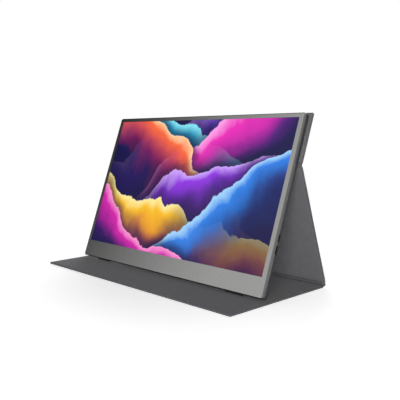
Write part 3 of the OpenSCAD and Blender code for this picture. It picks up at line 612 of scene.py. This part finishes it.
def foldStrip(name, spots, halves, node):
    # spots are (y, z) on the middle line, and halves the half thickness there
    across, wide = strip["acrossSteps"], coverWide - strip["narrower"]
    ways = [(b - a).normalized() for a, b in zip([spots[0]] + spots[:-1], spots[1:] + [spots[-1]])]
    bm = bmesh.new()
    sides = []
    for sign in (1, -1):
        rows = []
        for spot, way, half in zip(spots, ways, halves):
            row = []
            for j in range(across + 1):
                x = wide * (j / across - 0.5)
                edge = min(1.0, (wide / 2 - abs(x)) / strip["roundedEnd"])
                h = sign * half * math.sqrt(1 - (1 - edge) ** 2)
                row.append(bm.verts.new((x, spot.x - way.y * h, spot.y + way.x * h)))
            rows.append(row)
        sides.append(rows)
    for side, rows in enumerate(sides):
        for low, high in zip(rows, rows[1:]):
            for j in range(across):
                face = bm.faces.new((low[j], low[j + 1], high[j + 1], high[j]))
                face.material_index = side
    for i in (0, len(spots) - 1):
        for j in range(across):
            bm.faces.new((sides[0][i][j], sides[0][i][j + 1], sides[1][i][j + 1], sides[1][i][j]))
    bmesh.ops.remove_doubles(bm, verts=bm.verts, dist=weldReach)
    for face in bm.faces:
        face.smooth = True
    obj = addMesh(name, bm, [finishes["polyurethaneLeathercloth"], finishes["brushedMicrofibre"]])
    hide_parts(node)
    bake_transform(obj)


def topCrease():
    # coat and lining stuck together without a board, from the strut over the fold to the attach panel
    reach = cover["creaseWide"] / 2 + strip["bury"]
    fold = Vector((foldAt.y, foldAt.z))
    low, high = fold + Vector((leanSin, -leanCos)) * reach, fold + Vector((tiltSin, tiltCos)) * reach
    spots = curvedWay(low, low.lerp(fold, 2 / 3), high.lerp(fold, 2 / 3), high)
    count = len(spots) - 1
    swell = strip["creaseHalf"] - strip["half"]
    halves = [strip["half"] + swell * abs(2 * i / count - 1) ** 3 for i in range(count + 1)]
    foldStrip("topCreaseStrip", spots, halves, "top_crease")


def rearGusset():
    # the coat runs on from the flap's end to the strut's foot
    end = panels["strut"]["place"] @ Vector((0, panels["strut"]["length"], cover["thick"] / 2))
    down = Vector((leanSin, -leanCos))
    start = Vector((end.y, end.z)) - down * gusset["tuck"]
    flat = Vector((flapRear - gusset["overlap"], gusset["height"]))
    spots = curvedWay(start, start + down * gusset["hang"], flat + Vector((gusset["run"], 0)), flat)
    halves, bodies = [strip["half"]] * len(spots), ("floor_flap", "strut")
    foldStrip("rearGussetStrip", spots[::-1], halves, "rear_gusset")


topCrease()
rearGusset()
print("soft strips made")


studio = {
    "floorTone": "#f0f0f0", "floorReach": 6, "floorDrop": 0.2 * mm,
    # glow that lifts the floor to white, near the object and beyond, and where it changes; the lower
    # glow near the object is a painted shadow round it
    "floorGlowAndPaintedShadow": (0.48, 0.66), "paintedShadowReach": (0.08, 0.3),
    "shadowReach": (0.45, 1.0),  # the floor turns plain white between these distances
    "skyLight": 0.16,
    "lampAway": 2.5, "lampSize": 1.6,
    "lamps": {"frontSoftbox": (45, 4, 120.0), "rearSoftbox": (225, 12, 60.0)},  # turn, height and power
    "wallRadius": 0.9, "wallFoot": 1 * mm, "wallHeight": 1.5, "wallParts": 72, "wallGlow": 1.08,
    # brightness that metal sees round it, by degrees from the front towards the right
    "wallTones": [
        (-180, 0.4), (-150, 0.1), (-130, 0.0), (-66, 0.02), (-60, 0.24), (-52, 0.6), (-44, 0.86),
        (-36, 1.0), (20, 1.0), (56, 0.4), (110, 0.45), (140, 0.3), (180, 0.4)],
}


def makeLamp(name, turn, height, power):  # turned from the front towards the right, and raised
    turn, height = math.radians(turn), math.radians(height)
    level = math.cos(height)
    way = Vector((level * math.sin(turn), -level * math.cos(turn), math.sin(height)))
    data = bpy.data.lights.new(name, "AREA")
    data.shape, data.size, data.energy = "SQUARE", studio["lampSize"], power
    obj = bpy.data.objects.new(name, data)
    scene.collection.objects.link(obj)
    obj.location = way * studio["lampAway"]
    obj.rotation_euler = (-way).to_track_quat("-Z", "Y").to_euler()
    obj.visible_glossy = False  # metal sees the graded wall and not the lamp


def seenDirectly(tree, *kinds):  # 1 for rays of these kinds, and 0 for light on the object
    rays = addNode(tree, "ShaderNodeLightPath")
    seen = rays.outputs["Is Camera Ray"]
    for kind in kinds:
        seen = addNode(tree, "ShaderNodeMath", {"operation": "MAXIMUM"}, {
            0: seen, 1: rays.outputs[kind]}).outputs[0]
    return seen


def makeWorld():  # white to the camera and in gloss and glass, dim to the object
    world = bpy.data.worlds.new("studioWorld")
    scene.world = world
    world.use_nodes = True
    tree = world.node_tree
    tree.nodes.clear()
    dim = addNode(tree, "ShaderNodeBackground", {}, {
        "Color": "#ffffff", "Strength": studio["skyLight"]})
    white = addNode(tree, "ShaderNodeBackground", {}, {"Color": "#ffffff", "Strength": 1.0})
    mixed = addNode(tree, "ShaderNodeMixShader", {}, {
        0: seenDirectly(tree, "Is Glossy Ray", "Is Transmission Ray"),
        1: dim.outputs[0], 2: white.outputs[0]})
    addNode(tree, "ShaderNodeOutputWorld", {}, {"Surface": mixed.outputs[0]})


def makeFloor():
    material, tree, coords = startMaterial("paintedStudioFloor")
    away = addNode(tree, "ShaderNodeVectorMath", {"operation": "LENGTH"}, {0: coords})
    fade = addNode(tree, "ShaderNodeMapRange", {"interpolation_type": "SMOOTHSTEP"}, {
        0: away.outputs["Value"], 1: studio["shadowReach"][0], 2: studio["shadowReach"][1]})
    # less glow near the object: a painted shadow on the floor round it
    shadowedLift = addNode(tree, "ShaderNodeMapRange", {"interpolation_type": "SMOOTHSTEP"}, {
        0: away.outputs["Value"], 1: studio["paintedShadowReach"][0], 2: studio["paintedShadowReach"][1],
        3: studio["floorGlowAndPaintedShadow"][0], 4: studio["floorGlowAndPaintedShadow"][1]})
    paint = addNode(tree, "ShaderNodeBsdfDiffuse", {}, {"Color": studio["floorTone"]})
    glow = addNode(tree, "ShaderNodeEmission", {}, {"Color": "#ffffff", "Strength": shadowedLift.outputs[0]})
    white = addNode(tree, "ShaderNodeEmission", {}, {"Color": "#ffffff", "Strength": 1.0})
    lifted = addNode(tree, "ShaderNodeAddShader", {}, {0: paint.outputs[0], 1: glow.outputs[0]})
    seen = addNode(tree, "ShaderNodeMixShader", {}, {
        0: fade.outputs[0], 1: lifted.outputs[0], 2: white.outputs[0]})
    finishMaterial(material, addNode(tree, "ShaderNodeMixShader", {}, {  # gloss sees the bare paint
        0: seenDirectly(tree, "Is Transmission Ray"), 1: paint.outputs[0], 2: seen.outputs[0]}))
    bm, far, low = bmesh.new(), studio["floorReach"], -studio["floorDrop"]
    bm.faces.new([bm.verts.new(spot) for spot in (
        (-far, -far, low), (far, -far, low), (far, far, low), (-far, far, low))])
    addMesh("studioFloor", bm, [material])


def makeWall():  # a graded card round the object, which only reflections see
    material, tree, coords = startMaterial("gradedStudioWall")
    turned = addNode(tree, "ShaderNodeMapping", {}, {
        "Vector": coords, "Rotation": (0, 0, math.radians(90))})
    angle = addNode(tree, "ShaderNodeTexGradient", {"gradient_type": "RADIAL"}, {
        "Vector": turned.outputs[0]})
    stops = [(0.5 + degrees / 360, tone) for degrees, tone in studio["wallTones"]]
    tones = addNode(tree, "ShaderNodeValToRGB", {}, {"Fac": angle.outputs["Fac"]}, stops)
    glow = addNode(tree, "ShaderNodeEmission", {}, {
        "Color": tones.outputs["Color"], "Strength": studio["wallGlow"]})
    clear = addNode(tree, "ShaderNodeBsdfTransparent")
    rays = addNode(tree, "ShaderNodeLightPath")
    finishMaterial(material, addNode(tree, "ShaderNodeMixShader", {}, {
        0: rays.outputs["Is Glossy Ray"], 1: clear.outputs[0], 2: glow.outputs[0]}))
    bm = bmesh.new()
    radius, parts = studio["wallRadius"], studio["wallParts"]
    turns = [2 * math.pi * i / parts for i in range(parts)]
    rings = [[bm.verts.new((radius * math.cos(a), radius * math.sin(a), z)) for a in turns]
             for z in (studio["wallFoot"], studio["wallHeight"])]
    for i in range(parts):
        j = (i + 1) % parts
        bm.faces.new((rings[0][i], rings[0][j], rings[1][j], rings[1][i]))
    wall = addMesh("studioWall", bm, [material])
    wall.visible_shadow = wall.visible_diffuse = wall.visible_camera = False


for name, (turn, height, power) in studio["lamps"].items():
    makeLamp(name, turn, height, power)
makeWorld()
makeFloor()
makeWall()
scene.view_settings.view_transform = "Standard"
print("studio made")
